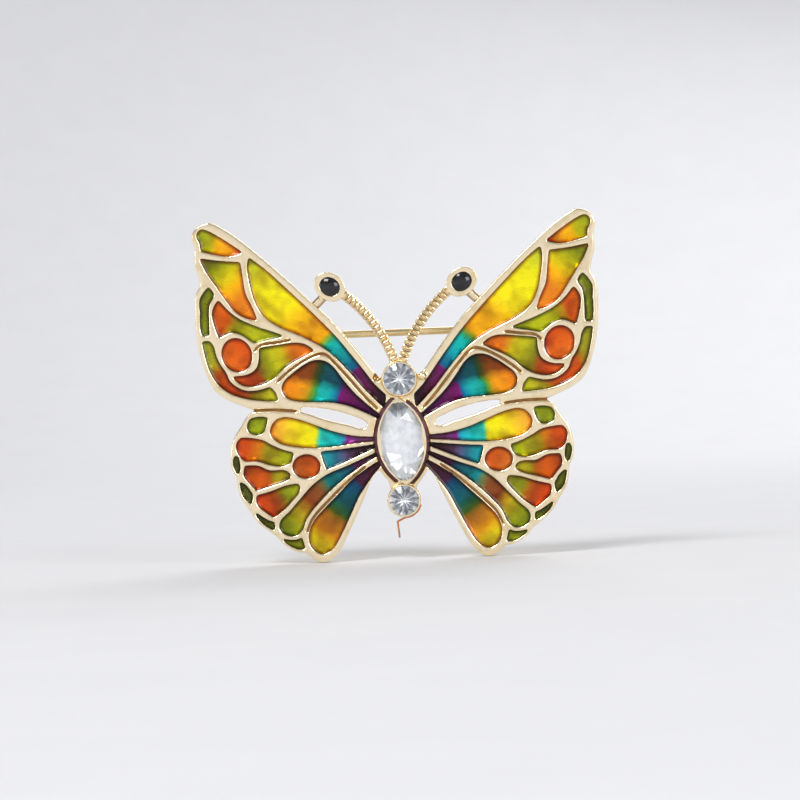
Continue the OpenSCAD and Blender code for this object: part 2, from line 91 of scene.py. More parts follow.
def linear(colour: str) -> tuple[float, float, float, float]:
    """Turns an sRGB hex colour into linear red, green, blue and alpha.

    Args:
        colour: Six hex digits after a hash.

    Returns:
        The four linear values, with alpha 1.
    """
    parts = [int(colour[i:i + 2], 16) / 255 for i in (1, 3, 5)]
    r, g, b = (c / 12.92 if c <= 0.04045 else ((c + 0.055) / 1.055) ** 2.4 for c in parts)
    return r, g, b, 1.0


def set_inputs(tree: NodeTree, node: Node, inputs: dict[Any, Any]) -> None:
    """Sets or links a node's inputs.

    Args:
        tree: The material's node tree.
        node: The node.
        inputs: Values, sockets, or nodes whose first output is linked, by input name or number.
    """
    for name, value in inputs.items():
        if isinstance(value, Node):
            value = value.outputs[0]
        if isinstance(value, NodeSocket):
            tree.links.new(value, node.inputs[name])
        else:
            node.inputs[name].default_value = value


def add_node(tree: NodeTree, kind: str, inputs: Optional[dict[Any, Any]] = None, **settings: Any) -> Node:
    """Adds one node to a tree with its settings and links.

    Args:
        tree: The material's node tree.
        kind: Blender's name for the node type.
        inputs: Values, sockets, or nodes whose first output is linked, by input name or number.
        settings: Attributes to set on the node.

    Returns:
        The new node.
    """
    node = tree.nodes.new(kind)
    for name, value in settings.items():
        setattr(node, name, value)
    set_inputs(tree, node, inputs or {})
    return node


def set_stops(node: Node, stops: dict[float, str]) -> NodeSocket:
    """Fills a colour ramp and returns its colour output.

    Args:
        node: A colour ramp node.
        stops: Hex colours by their places from 0 to 1, in order.

    Returns:
        The node's colour socket.
    """
    ramp = node.color_ramp
    while len(ramp.elements) > 1:
        ramp.elements.remove(ramp.elements[-1])
    first, *others = stops.items()
    ramp.elements[0].position = first[0]
    ramp.elements[0].color = linear(first[1])
    for place, colour in others:
        ramp.elements.new(place).color = linear(colour)
    return node.outputs["Color"]


def new_tree(name: str) -> tuple[Material, NodeTree, Node]:
    """Makes an empty node material.

    Args:
        name: The material's name.

    Returns:
        The material, its tree and its Principled shader, which is linked to the output.
    """
    material = bpy.data.materials.new(name)
    material.use_nodes = True
    tree = material.node_tree
    tree.nodes.clear()
    shader = add_node(tree, "ShaderNodeBsdfPrincipled")
    add_node(tree, "ShaderNodeOutputMaterial", {"Surface": shader})
    return material, tree, shader


def millimetres(tree: NodeTree) -> NodeSocket:
    """Object coordinates of the piece in millimetres."""
    place = add_node(tree, "ShaderNodeTexCoord").outputs["Object"]
    return add_node(tree, "ShaderNodeVectorMath", {0: place, "Scale": 1 / MM}, operation="SCALE").outputs[0]


# ---- finishes


@dataclass(frozen=True)
class PlatedMetal:
    """Metal under a thin bright plating, polished or left satin.

    Casting leaves a faint grain and the polish rides over it, so highlights break up softly. Painted shade
    darkens what lies low between the ribs towards the low colour, from top_y back to deep_y, and the rib tops
    are painted bright with the high colour. Behind back_y, on the smooth back, the colour is the high one
    again.
    """

    name: str
    high: str
    low: str
    stain: str
    rough: Point = (0.14, 0.26)
    grain: float = 0.28
    grain_depth: float = 0.004
    dent: float = 1.6
    dent_depth: float = 0.02
    deep_y: float = -3.7
    top_y: float = -4.1
    back_y: Point = (-3.6, -3.2)
    patches: Point = (0.52, 0.72)
    stain_share: float = 0.5

    def material(self) -> Material:
        """Builds the plated metal.

        Returns:
            The material.
        """
        material, tree, shader = new_tree(self.name)
        place = millimetres(tree)
        fine = add_node(tree, "ShaderNodeTexNoise",
                        {"Vector": place, "Scale": 1 / self.grain, "Detail": 3.0})
        broad = add_node(tree, "ShaderNodeTexNoise", {"Vector": place, "Scale": 1 / self.dent})
        y = add_node(tree, "ShaderNodeSeparateXYZ", {0: place}).outputs[1]
        # Painted shade: the colour runs from high on the rib tops to low between the ribs, by y.
        rise = add_node(tree, "ShaderNodeMapRange", {
            "Value": y, "From Min": self.deep_y, "From Max": self.top_y})
        behind = add_node(tree, "ShaderNodeMapRange", {
            "Value": y, "From Min": self.back_y[0], "From Max": self.back_y[1]})
        height = add_node(tree, "ShaderNodeMath", {0: rise, 1: behind},
                          operation="MAXIMUM")
        painted_depth_shade = add_node(tree, "ShaderNodeMix", {
            "Factor": height, "A": linear(self.low), "B": linear(self.high)}, data_type="RGBA")
        patchy = add_node(tree, "ShaderNodeMapRange", {
            "Value": broad, "From Min": self.patches[0], "From Max": self.patches[1],
            "To Max": self.stain_share})
        stained = add_node(tree, "ShaderNodeMix", {
            "Factor": patchy, "A": painted_depth_shade.outputs["Result"], "B": linear(self.stain)},
            data_type="RGBA")
        polish = add_node(tree, "ShaderNodeMapRange", {
            "Value": fine, "From Min": NOISE[0], "From Max": NOISE[1],
            "To Min": self.rough[0], "To Max": self.rough[1]})
        grained = add_node(tree, "ShaderNodeBump", {"Height": fine, "Distance": self.grain_depth * MM})
        dented = add_node(tree, "ShaderNodeBump", {
            "Height": broad, "Distance": self.dent_depth * MM, "Normal": grained})
        set_inputs(tree, shader, {
            "Base Color": stained.outputs["Result"], "Metallic": 1.0, "Roughness": polish,
            "Normal": dented})
        return material


@dataclass(frozen=True)
class Enamel:
    """Clear tinted resin poured on polished metal.

    Light goes through the tint to the metal floor and back, so the colour glows, and the floor's tool marks
    show as streaks of sheen. Along the walls the colour is darkened by painted shade, partly the deeper
    colour of the thicker resin there, and it is deeper in random pools; where a shade is given, painted shade
    darkens the upper side of the cell. Its own skin is wet and glassy. The colours run from start to end,
    which are places in x and z.
    """

    name: str
    slot: str
    start: Point
    end: Point
    wall_shade_tint: str
    stops: dict[float, str]
    waver: float = 0.5
    wall_share: float = 0.9
    wall_band: Point = (0.02, 0.5)
    shade: Optional[tuple[Point, Point, str]] = None
    glow: float = 0.45
    mark_turn: float = 38.0
    mark_scale: Place = (0.6, 1.0, 1.5)
    rough: Point = (0.22, 0.42)
    pool: float = 2.5
    pool_tint: str = "#a08070"
    pool_share: float = 0.6
    pool_depth: float = 0.5
    ripple_depth: float = 0.08

    def share(self, tree: NodeTree, place: NodeSocket, start: Point, end: Point, waver: float) -> NodeSocket:
        """How far a point lies on the way from start to end, the same on both sides of the brooch.

        Args:
            tree: The material's tree.
            place: Coordinates in millimetres.
            start: Where the share is 0, in x and z.
            end: Where the share is 1.
            waver: How far the share wanders, in millimetres.

        Returns:
            The share.
        """
        wide = add_node(tree, "ShaderNodeTexNoise", {"Vector": place, "Scale": 0.9})
        shift = add_node(tree, "ShaderNodeMath", {0: wide, 1: waver * 2, 2: -waver},
                         operation="MULTIPLY_ADD")
        run = np.array(end) - np.array(start)
        pull = run / float(run @ run)
        parts = add_node(tree, "ShaderNodeSeparateXYZ", {0: place})
        across = add_node(tree, "ShaderNodeMath", {0: parts.outputs[0]}, operation="ABSOLUTE")
        sum_x = add_node(tree, "ShaderNodeMath", {
            0: across, 1: float(pull[0]), 2: -float(np.dot(pull, start))},
            operation="MULTIPLY_ADD")
        sum_z = add_node(tree, "ShaderNodeMath", {
            0: parts.outputs[2], 1: float(pull[1]), 2: sum_x}, operation="MULTIPLY_ADD")
        return add_node(tree, "ShaderNodeMath", {
            0: shift, 1: 1 / float(np.linalg.norm(run)), 2: sum_z},
            operation="MULTIPLY_ADD").outputs[0]

    def darken(self, tree: NodeTree, colour: NodeSocket, amount: NodeSocket, tint: str) -> NodeSocket:
        """Multiplies a colour by a tint as far as an amount from 0 to 1 says."""
        return add_node(tree, "ShaderNodeMix", {"Factor": amount, "A": colour, "B": linear(tint)},
                        data_type="RGBA", blend_type="MULTIPLY").outputs["Result"]

    def material(self) -> Material:
        """Builds the enamel.

        Returns:
            The material.
        """
        material, tree, shader = new_tree(self.name)
        place = millimetres(tree)
        along = self.share(tree, place, self.start, self.end, self.waver)
        colour = set_stops(add_node(tree, "ShaderNodeValToRGB", {0: along}), self.stops)
        # Painted shade that darkens the upper side of the cell.
        if self.shade:
            upper, lower, tint = self.shade
            down = self.share(tree, place, upper, lower, self.waver)
            above = add_node(tree, "ShaderNodeMapRange", {"Value": down, "To Min": 1.0, "To Max": 0.0})
            colour = self.darken(tree, colour, above.outputs[0], tint)
        # Painted shade along the walls, partly the deeper colour of the thicker resin there.
        rim = add_node(tree, "ShaderNodeAttribute", attribute_name="wall_distance").outputs["Fac"]
        near = add_node(tree, "ShaderNodeMapRange", {
            "Value": rim, "From Min": self.wall_band[0], "From Max": self.wall_band[1],
            "To Min": self.wall_share, "To Max": 0.0})
        colour = self.darken(tree, colour, near.outputs[0], self.wall_shade_tint)
        squash = add_node(tree, "ShaderNodeMapping", {
            "Vector": place, "Rotation": (0.0, math.radians(self.mark_turn), 0.0), "Scale": self.mark_scale})
        marks = add_node(tree, "ShaderNodeTexNoise", {
            "Vector": squash, "Scale": 1.0, "Detail": 0.0})
        pools = add_node(tree, "ShaderNodeTexNoise", {
            "Vector": place, "Scale": 1 / self.pool, "Detail": 1.0})
        deep = add_node(tree, "ShaderNodeMapRange", {
            "Value": pools, "From Min": 0.45, "From Max": 0.7, "To Max": self.pool_share})
        colour = self.darken(tree, colour, deep.outputs[0], self.pool_tint)
        sheen = add_node(tree, "ShaderNodeMapRange", {
            "Value": marks, "From Min": NOISE[0], "From Max": NOISE[1],
            "To Min": self.rough[0], "To Max": self.rough[1]})
        floor = add_node(tree, "ShaderNodeBump", {"Height": pools, "Distance": self.pool_depth * MM})
        wet = add_node(tree, "ShaderNodeTexNoise", {"Vector": place, "Scale": 0.7, "Detail": 1.0})
        skin = add_node(tree, "ShaderNodeBump", {
            "Height": wet, "Distance": self.ripple_depth * MM})
        set_inputs(tree, shader, {
            "Base Color": colour, "Metallic": self.glow, "Roughness": sheen,
            "Normal": floor, "Specular IOR Level": 0.0, "Coat Weight": 0.5,
            "Coat Roughness": 0.05, "Coat IOR": 1.45, "Coat Normal": skin})
        return material


@dataclass(frozen=True)
class CutGlass:
    """Machine-cut lead glass, clear, with sharp facets.

    Its body bends light less than real glass, so that the foil shows through all of it. Its skin has the
    index of real glass, so each facet flashes as it should.
    """

    name: str = "cut_clear_glass"
    colour: str = "#fbfdff"
    body_index: float = 1.2
    skin_index: float = 1.56
    skin_weight: float = 0.8
    rub: float = 0.03

    def material(self) -> Material:
        """Builds the glass of the facets that face the front.

        Returns:
            The material.
        """
        material, tree, shader = new_tree(self.name)
        place = millimetres(tree)
        wear = add_node(tree, "ShaderNodeTexNoise", {"Vector": place, "Scale": 1.1})
        rubbed = add_node(tree, "ShaderNodeMapRange", {
            "Value": wear, "From Min": 0.4, "From Max": 0.7, "To Max": self.rub})
        set_inputs(tree, shader, {
            "Base Color": linear(self.colour), "Transmission Weight": 1.0, "IOR": self.body_index,
            "Coat Weight": self.skin_weight, "Coat Roughness": 0.01, "Coat IOR": self.skin_index,
            "Roughness": rubbed})
        return material


@dataclass(frozen=True)
class SilverFoil:
    """Silver foil fired on the back of a stone, half mirror and half white, with slight creases."""

    name: str = "silver_foil"
    bright: str = "#ffffff"
    dull: str = "#e4e6ea"
    mirror: float = 0.4
    rough: Point = (0.04, 0.14)
    crease_depth: float = 0.008

    def material(self) -> Material:
        """Builds the foil.

        Returns:
            The material.
        """
        material, tree, shader = new_tree(self.name)
        place = millimetres(tree)
        cloud = add_node(tree, "ShaderNodeTexNoise", {"Vector": place, "Scale": 1.25})
        veil = add_node(tree, "ShaderNodeMapRange", {"Value": cloud, "From Min": 0.35, "From Max": 0.65})
        mixed = add_node(tree, "ShaderNodeMix", {
            "Factor": veil, "A": linear(self.bright), "B": linear(self.dull)}, data_type="RGBA")
        haze = add_node(tree, "ShaderNodeMapRange", {
            "Value": cloud, "To Min": self.rough[0], "To Max": self.rough[1]})
        creased = add_node(tree, "ShaderNodeBump", {"Height": cloud, "Distance": self.crease_depth * MM})
        set_inputs(tree, shader, {
            "Base Color": mixed.outputs["Result"], "Metallic": self.mirror, "Roughness": haze,
            "Normal": creased})
        return material


@dataclass(frozen=True)
class BlackGlaze:
    """Black enamel fired in a dome, with a skin like wet glass and faint haze from handling."""

    name: str = "black_glaze"
    black: str = "#08080a"
    haze: str = "#1c1d22"
    index: float = 1.55
    rough: Point = (0.05, 0.14)
    ripple_depth: float = 0.02

    def material(self) -> Material:
        """Builds the glaze.

        Returns:
            The material.
        """
        material, tree, shader = new_tree(self.name)
        place = millimetres(tree)
        cloud = add_node(tree, "ShaderNodeTexNoise", {
            "Vector": place, "Scale": 1.4, "Detail": 3.0})
        veil = add_node(tree, "ShaderNodeMapRange", {"Value": cloud, "From Min": 0.4, "From Max": 0.7})
        mixed = add_node(tree, "ShaderNodeMix", {
            "Factor": veil, "A": linear(self.black), "B": linear(self.haze)}, data_type="RGBA")
        polish = add_node(tree, "ShaderNodeMapRange", {
            "Value": cloud, "To Min": self.rough[0], "To Max": self.rough[1]})
        waves = add_node(tree, "ShaderNodeTexNoise", {"Vector": place, "Scale": 1.0, "Detail": 1.0})
        skin = add_node(tree, "ShaderNodeBump", {
            "Height": waves, "Distance": self.ripple_depth * MM})
        set_inputs(tree, shader, {
            "Base Color": mixed.outputs["Result"], "Roughness": polish, "IOR": self.index,
            "Normal": skin})
        return material


# ---- mesh tools


def deselect() -> None:
    for item in bpy.context.selected_objects:
        item.select_set(False)


def activate(piece: Object) -> None:
    """Makes one piece the only selected and active object.

    Args:
        piece: The piece.
    """
    deselect()
    piece.select_set(True)
    bpy.context.view_layer.objects.active = piece


def edit(piece: Object, *steps: Callable[[], Any], mode: str = "VERT", everything: bool = True) -> None:
    """Runs operators on a piece in edit mode.

    Args:
        piece: The piece to edit.
        steps: Operators without arguments, in order.
        mode: What is selected, VERT, EDGE or FACE.
        everything: Whether all is selected first.
    """
    activate(piece)
    bpy.ops.object.mode_set(mode="EDIT")
    bpy.ops.mesh.select_mode(type=mode)
    if everything:
        bpy.ops.mesh.select_all(action="SELECT")
    for step in steps:
        step()
    bpy.ops.object.mode_set(mode="OBJECT")


def corners(piece: Object) -> np.ndarray:
    """Vertex places of a piece in metres, one row each."""
    flat = np.empty(len(piece.data.vertices) * 3)
    piece.data.vertices.foreach_get("co", flat)
    return flat.reshape(-1, 3)


def set_corners(piece: Object, places: np.ndarray) -> None:
    """Moves a piece's vertices to new places in metres."""
    piece.data.vertices.foreach_set("co", np.ascontiguousarray(places).ravel())
    piece.data.update()


def select_faces(piece: Object, test: Callable[[Any], bool]) -> None:
    """Selects in object mode just the faces that pass a test.

    Args:
        piece: The piece.
        test: Whether a face is selected.
    """
    for edge in piece.data.edges:
        edge.select = False
    for vertex in piece.data.vertices:
        vertex.select = False
    for face in piece.data.polygons:
        face.select = test(face)


def apply_modifier(piece: Object, kind: str, **settings: Any) -> None:
    """Adds a modifier to a piece and applies it at once.

    Args:
        piece: The piece to change.
        kind: Blender's name for the modifier type.
        settings: Attributes set on the modifier.
    """
    activate(piece)
    modifier = piece.modifiers.new(kind.lower(), kind)
    for name, value in settings.items():
        setattr(modifier, name, value)
    bpy.ops.object.modifier_apply(modifier=modifier.name)


def ease(piece: Object, width: float, angle: float) -> None:
    """Rounds the edges of a piece that are sharper than an angle.

    Args:
        piece: The piece.
        width: Width of the rounding, in millimetres.
        angle: The angle in degrees.
    """
    apply_modifier(piece, "BEVEL", width=width * MM, segments=3, limit_method="ANGLE",
                   angle_limit=math.radians(angle))


def copy_of(node: str, name: str) -> Object:
    """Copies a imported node's mesh into a new piece with its corners merged.

    Args:
        node: The node's name.
        name: The new piece's name.

    Returns:
        The new piece.
    """
    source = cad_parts[node]
    piece = bpy.data.objects.new(name, source.data.copy())
    piece.data.name = name
    piece.data.materials.clear()
    bpy.context.scene.collection.objects.link(piece)
    piece.matrix_world = source.matrix_world
    edit(piece, lambda: bpy.ops.mesh.remove_doubles(threshold=MERGE * MM),
         lambda: bpy.ops.mesh.dissolve_limited(angle_limit=math.radians(FLAT)))
    return piece


def smooth(piece: Object, angle: float = 180.0) -> None:
    """Shades a piece smooth.

    Args:
        piece: The piece.
        angle: Edges sharper than this, in degrees, stay sharp.
    """
    activate(piece)
    if angle >= 180:
        bpy.ops.object.shade_smooth()
    else:
        bpy.ops.object.shade_smooth_by_angle(angle=math.radians(angle))


def settle(piece: Object, body: Body, nodes: Sequence[str], slot: str,
           *materials: Material) -> Object:
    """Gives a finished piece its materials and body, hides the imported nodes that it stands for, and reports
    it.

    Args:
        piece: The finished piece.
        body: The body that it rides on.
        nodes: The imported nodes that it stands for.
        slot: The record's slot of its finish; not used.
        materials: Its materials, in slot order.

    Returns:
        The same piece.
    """
    activate(piece)
    bpy.ops.object.transform_apply()
    for material in materials:
        piece.data.materials.append(material)
    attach(piece, body.value)
    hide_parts(*nodes)
    LOG.info("%s: %d faces", piece.name, len(piece.data.polygons))
    return piece


# ---- the casting


@dataclass
class Casting:
    """The cast frame: a floor with raised ribs round every cell, tumbled until its edges are round."""

    voxel: float = 0.095
    quick_share: float = 1.7
    tumble: int = 34
    limit: int = 185_000
    # The finish's low colour is painted shade between the ribs, and its high colour paints the rib tops
    # bright.
    finish: PlatedMetal = PlatedMetal("cast_gold_plate", "#fdebc6", "#9a6e38", "#e6c890")

    def build(self) -> Object:
        """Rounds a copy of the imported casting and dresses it.

        Returns:
            The casting.
        """
        piece = copy_of("cast_frame", "casting")
        voxel = self.voxel * 1.0
        apply_modifier(piece, "REMESH", mode="VOXEL", voxel_size=voxel * MM)
        apply_modifier(piece, "SMOOTH", iterations=self.tumble)
        faces = len(piece.data.polygons) * 2
        if faces > self.limit:
            apply_modifier(piece, "DECIMATE", ratio=self.limit / faces)
        smooth(piece)
        return settle(piece, Body.BROOCH, ["cast_frame"], "gold_casting", self.finish.material())


# ---- the enamel


@dataclass
class EnamelCells:
    """Every poured cell on both wings, with the resin drawn up against the ribs."""

    voxel: float = 0.12
    quick_share: float = 1.5
    front_share: float = 0.6
    climb: float = 0.24
    reach: float = 0.3
    overlap: float = 0.05
    farthest: float = 2.0
    shading: float = 50.0

    def finishes(self) -> tuple[Enamel, ...]:
        """Each cell's enamel, named for the cell without its side.

        Returns:
            The enamels of the cells that both wings have.
        """
        amber, orange, green, teal = "enamel_amber", "enamel_orange", "enamel_green", "enamel_teal"
        # Tints of the painted shade along the walls, partly the deeper colour of thick resin.
        rust, wine, olive, ink = "#8a2c00", "#6a1400", "#343c00", "#141c28"
        return (
            Enamel("tip_cell", amber, (26.6, 14), (20.5, 11.8), rust, {
                0: "#8fa00c", 0.17: "#a4a810", 0.34: "#bdb306", 0.45: "#f0b404", 0.56: "#fcb204",
                0.78: "#f09a10", 0.95: "#d84a08"}),
            Enamel("kite_cell", amber, (26, 11.2), (19.4, 3), rust, {
                0: "#c88a0c", 0.08: "#8a8408", 0.16: "#7b8408", 0.3: "#aca904", 0.42: "#e4d004",
                0.58: "#fcb002", 0.74: "#e88014", 1: "#f08c18"}),
            Enamel("long_cell", amber, (19.8, 10.5), (3.0, -9.0), rust, {
                0: "#8c9a10", 0.05: "#cdd028", 0.11: "#eee610", 0.25: "#fcee0c", 0.33: "#feea0c",
                0.39: "#fcc806", 0.47: "#f8b002", 0.565: "#fcb002", 0.585: "#98ae18", 0.605: "#30b070",
                0.625: "#08bcb0", 0.7: "#08acb0", 0.77: "#087ea0", 0.8: "#0a5f8c", 0.812: "#7a1470",
                0.87: "#641e54", 0.95: "#4a1430", 1: "#2a0c1c"}, waver=0.35),
            Enamel("fish_cell", green, (24.8, 4.5), (15.5, 0), olive, {
                0: "#c85408", 0.1: "#e06408", 0.24: "#e05a04", 0.33: "#d09a08", 0.4: "#b0b008",
                0.55: "#c0c010", 0.75: "#b4b808", 1: "#90a010"}),
            Enamel("spot_cell", orange, (20.5, -1), (23.4, -4), wine, {
                0: "#d84e08", 0.4: "#e0600c", 0.75: "#e86814", 1: "#f08420"}),
            Enamel("sickle_cell", green, (21.5, -5.8), (12.0, -1.6), olive, {
                0: "#e85c18", 0.13: "#c8480a", 0.25: "#b85008", 0.31: "#907008", 0.4: "#90900a",
                0.52: "#c4c00a", 0.66: "#ccb80c", 0.73: "#d88c10", 0.8: "#dc700e", 1: "#e06c14"}),
            Enamel("edge_cell", green, (26, 6.8), (25.8, 0.6), olive, {
                0: "#7c8408", 0.5: "#7a8008", 1: "#8a9410"}),
            Enamel("crescent_cell", green, (26, -0.5), (17, -7.8), olive, {
                0: "#8a9010", 0.08: "#a4a01c", 0.22: "#a8a01c", 0.3: "#b08010", 0.36: "#cc5408",
                0.6: "#cc4606", 0.74: "#c85812", 0.82: "#a08010", 0.87: "#a09410", 0.96: "#c6c014"}),
            Enamel("lobe_cell", teal, (15.8, -6.6), (3.0, -11.3), ink, {
                0: "#e87c08", 0.06: "#f48a0c", 0.2: "#f8a00a", 0.25: "#d89a0c", 0.29: "#7c9a10",
                0.33: "#1e9a50", 0.36: "#12b4a4", 0.46: "#0cb0ac", 0.52: "#0a90a8", 0.56: "#0e5a90",
                0.575: "#7c1070", 0.64: "#6a1054", 0.8: "#500848", 1: "#3c0830"},
                shade=((11.4, -5.9), (11.7, -7.2), "#8c6c80")),
            Enamel("hind_top_cell", amber, (17.5, -12.8), (4.0, -14.4), rust, {
                0: "#f8a020", 0.07: "#fcbc30", 0.2: "#fcdc14", 0.34: "#fcee04", 0.43: "#f6e80c",
                0.455: "#8ad860", 0.48: "#20d4c0", 0.6: "#10d4d0", 0.69: "#20b4c8", 0.72: "#3a80b8",
                0.745: "#8a2a8c", 0.83: "#7c4084", 1: "#644a5e"}),
            Enamel("hind_outer_cell", orange, (22.3, -14.6), (15.0, -16.5), wine, {
                0: "#d04806", 0.2: "#d04e05", 0.4: "#d27804", 0.5: "#b89808", 0.6: "#b0a80a",
                0.82: "#babc08", 1: "#98a808"}),
            Enamel("hind_petal_cell", teal, (10.8, -16.4), (4.0, -15.3), ink, {
                0: "#149aa0", 0.12: "#16949e", 0.3: "#2a6884", 0.45: "#5a5078", 0.55: "#4a3048",
                0.8: "#3c1c24", 1: "#34141e"}),
            Enamel("hind_fan_cell", orange, (21.3, -18.6), (15.4, -18.8), wine, {
                0: "#a84004", 0.12: "#bc4c05", 0.35: "#d85a05", 0.55: "#b85606", 0.63: "#a07808",
                0.72: "#a8980c", 0.82: "#b0a010", 1: "#a0a00c"}),
            Enamel("hind_wedge_cell", orange, (19.5, -22.6), (14.3, -20.4), wine, {
                0: "#d04402", 0.15: "#c84402", 0.33: "#a84002", 0.46: "#b06004", 0.56: "#a07c06",
                0.65: "#909008", 0.8: "#949e0c", 1: "#a0a810"}),
            Enamel("hind_spot_cell", orange, (11.6, -17), (14.6, -18.6), wine, {
                0: "#d85a0c", 0.5: "#cc5c10", 1: "#d87420"}),
            Enamel("hind_long_cell", teal, (3.6, -16.4), (16.2, -26.6), ink, {
                0: "#3a1622", 0.1: "#4c1c34", 0.2: "#5a1c50", 0.22: "#1e3c5c", 0.37: "#077078",
                0.45: "#0c8e90", 0.49: "#6a8450", 0.54: "#8a5020", 0.68: "#883c0c", 0.73: "#b07c08",
                0.79: "#c8ac0a", 0.88: "#a4a604", 0.95: "#7e8803", 1: "#6c7a04"}, waver=0.4),
            Enamel("hind_drop_cell", amber, (3.2, -17.8), (11.8, -29.2), rust, {
                0: "#38141c", 0.11: "#44182a", 0.25: "#3e1434", 0.28: "#0c3c64", 0.37: "#04546c",
                0.48: "#045c64", 0.54: "#186040", 0.6: "#3a5404", 0.64: "#8a6008", 0.7: "#b06c14",
                0.81: "#dc9006", 0.86: "#e8b806", 0.91: "#e8d006", 1: "#c8b408"}, waver=0.4),
            Enamel("scallop_cells", green, (20, -11), (16, -28), olive, {
                0: "#9cac08", 0.12: "#9cac08", 0.3: "#62680a", 0.8: "#60660a", 1: "#7e8408"}),
        )

    def wall_distance(self, flat: np.ndarray, ring: np.ndarray) -> np.ndarray:
        """Distance from points to the nearest of the segments of an outline.

        Args:
            flat: Points in x and z.
            ring: Segments as rows of two end points.

        Returns:
            One distance per point, in metres.
        """
        best = np.full(len(flat), np.inf)
        for a, b in ring:
            run = b - a
            share = np.clip((flat - a) @ run / max(float(run @ run), 1e-18), 0, 1)
            best = np.minimum(best, np.linalg.norm(flat - a - share[:, None] * run, axis=1))
        return best

    def outline(self, piece: Object, front: float) -> np.ndarray:
        """Edges round the front face of a prism.

        Args:
            piece: A merged copy of a cell.
            front: The y of its front face.

        Returns:
            Segments in x and z, as rows of two end points.
        """
        places = corners(piece)
        level = np.abs(places[:, 1] - front) < NEAR * MM
        used: dict[tuple[int, int], int] = {}
        for face in piece.data.polygons:
            if all(level[i] for i in face.vertices):
                for key in face.edge_keys:
                    used[key] = used.get(key, 0) + 1
        rim = [key for key, count in used.items() if count == 1]
        return places[np.array(rim)][:, :, [0, 2]]

    def pour(self, node: str, enamel: Material, slot: str) -> Object:
        """Makes one cell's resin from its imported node.

        Args:
            node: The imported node.
            enamel: Its material.
            slot: The record's slot.

        Returns:
            The finished resin.
        """
        piece = copy_of(node, f"{node}_enamel")
        front = corners(piece)[:, 1].min()
        ring = self.outline(piece, front)
        voxel = self.voxel * 1.0
        apply_modifier(piece, "REMESH", mode="VOXEL", voxel_size=voxel * MM)
        apply_modifier(piece, "SMOOTH", iterations=2, use_y=False)
        places = corners(piece)
        away = self.wall_distance(places[:, [0, 2]], ring)
        face_on = places[:, 1] < front + self.front_share * voxel * MM
        rise = self.climb * np.exp(-away / (self.reach * MM)) * MM
        places[:, 1] = np.where(face_on, front - rise, places[:, 1])
        set_corners(piece, places)
        apply_modifier(piece, "DISPLACE", strength=self.overlap * MM, mid_level=0.0)
        tag = piece.data.attributes.new("wall_distance", "FLOAT", "POINT")
        tag.data.foreach_set("value", np.minimum(away / MM, self.farthest).astype(np.float32))
        smooth(piece, self.shading)
        return settle(piece, Body.BROOCH, [node], slot, enamel)

    def build(self) -> list[Object]:
        """Pours every cell.

        Returns:
            The pieces of resin.
        """
        poured = []
        for enamel in self.finishes():
            material = enamel.material()
            for side in Side:
                poured.append(self.pour(f"{side.label}_{enamel.name}", material, enamel.slot))
        plum = Enamel("body_surround", "enamel_teal", (3, -8), (3, -20), "#6a4058", {
            0: "#6a4a5c", 0.5: "#744c58", 1: "#6a4040"}, wall_share=0.3)
        poured.append(self.pour(plum.name, plum.material(), plum.slot))
        return poured


# ---- stones and cups


def draw_out(piece: Object, way: int, depth: float) -> np.ndarray:
    """Extrudes the flat end of a stone along y.

    Args:
        piece: The stone.
        way: -1 for the front end, 1 for the back end.
        depth: How far, in millimetres.

    Returns:
        A mask of the vertices round the new end.
    """
    select_faces(piece, lambda face: face.normal.y * way > FACING)
    edit(piece, lambda: bpy.ops.mesh.extrude_region_move(
        TRANSFORM_OT_translate={"value": (0, way * depth * MM, 0)}), mode="FACE", everything=False)
    y = corners(piece)[:, 1] * way
    return y > y.max() - NEAR * MM


def close_point(piece: Object, way: int, depth: float) -> None:
    """Closes the flat end of a stone in a point.

    Args:
        piece: The stone.
        way: -1 for the front end, 1 for the back end.
        depth: How far the point lies beyond the end, in millimetres.
    """
    count = len(piece.data.vertices)
    select_faces(piece, lambda face: face.normal.y * way > FACING)
    edit(piece, bpy.ops.mesh.poke, mode="FACE", everything=False)
    places = corners(piece)
    places[count:, 1] += way * depth * MM
    set_corners(piece, places)


@dataclass
class Stone:
    """What the foiled stones share: the drum that each is cut from, clear facets in front and foil behind."""

    node: str
    glass: Material
    foil: Material
    crease: Material

    def box(self) -> tuple[np.ndarray, np.ndarray]:
        """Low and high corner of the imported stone, in millimetres."""
        low, high = (np.array(v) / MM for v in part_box(self.node))
        return low, high

    def drum(self, sides: int, radius: float, depth: float, place: Place) -> Object:
        """Adds a short drum with its axis along y.

        Args:
            sides: Corners of its outline.
            radius: Its radius, in millimetres.
            depth: How deep it is from front to back.
            place: Its middle.

        Returns:
            The drum.
        """
        deselect()
        bpy.ops.mesh.primitive_cylinder_add(
            vertices=sides, radius=radius * MM, depth=depth * MM, end_fill_type="NGON",
            location=[v * MM for v in place], rotation=(math.radians(90), 0, 0))
        piece = bpy.context.object
        piece.name = f"{self.node}_cut"
        activate(piece)
        bpy.ops.object.transform_apply()
        return piece

    def dress(self, piece: Object, back_y: float, shaded: Callable[[Any], bool]) -> Object:
        """Gives the facets their materials and settles the stone.

        Args:
            piece: The cut stone.
            back_y: Where the foiled facets begin, in millimetres.
            shaded: Whether a foiled facet gets the darker foil of painted shade.

        Returns:
            The stone.
        """
        edit(piece, bpy.ops.mesh.normals_make_consistent)
        for face in piece.data.polygons:
            face.use_smooth = False
            face.material_index = 0
            if face.center.y > back_y * MM:
                face.material_index = 2 if shaded(face) else 1
        return settle(piece, Body.BROOCH, [self.node], "clear_stone", self.glass, self.foil, self.crease)


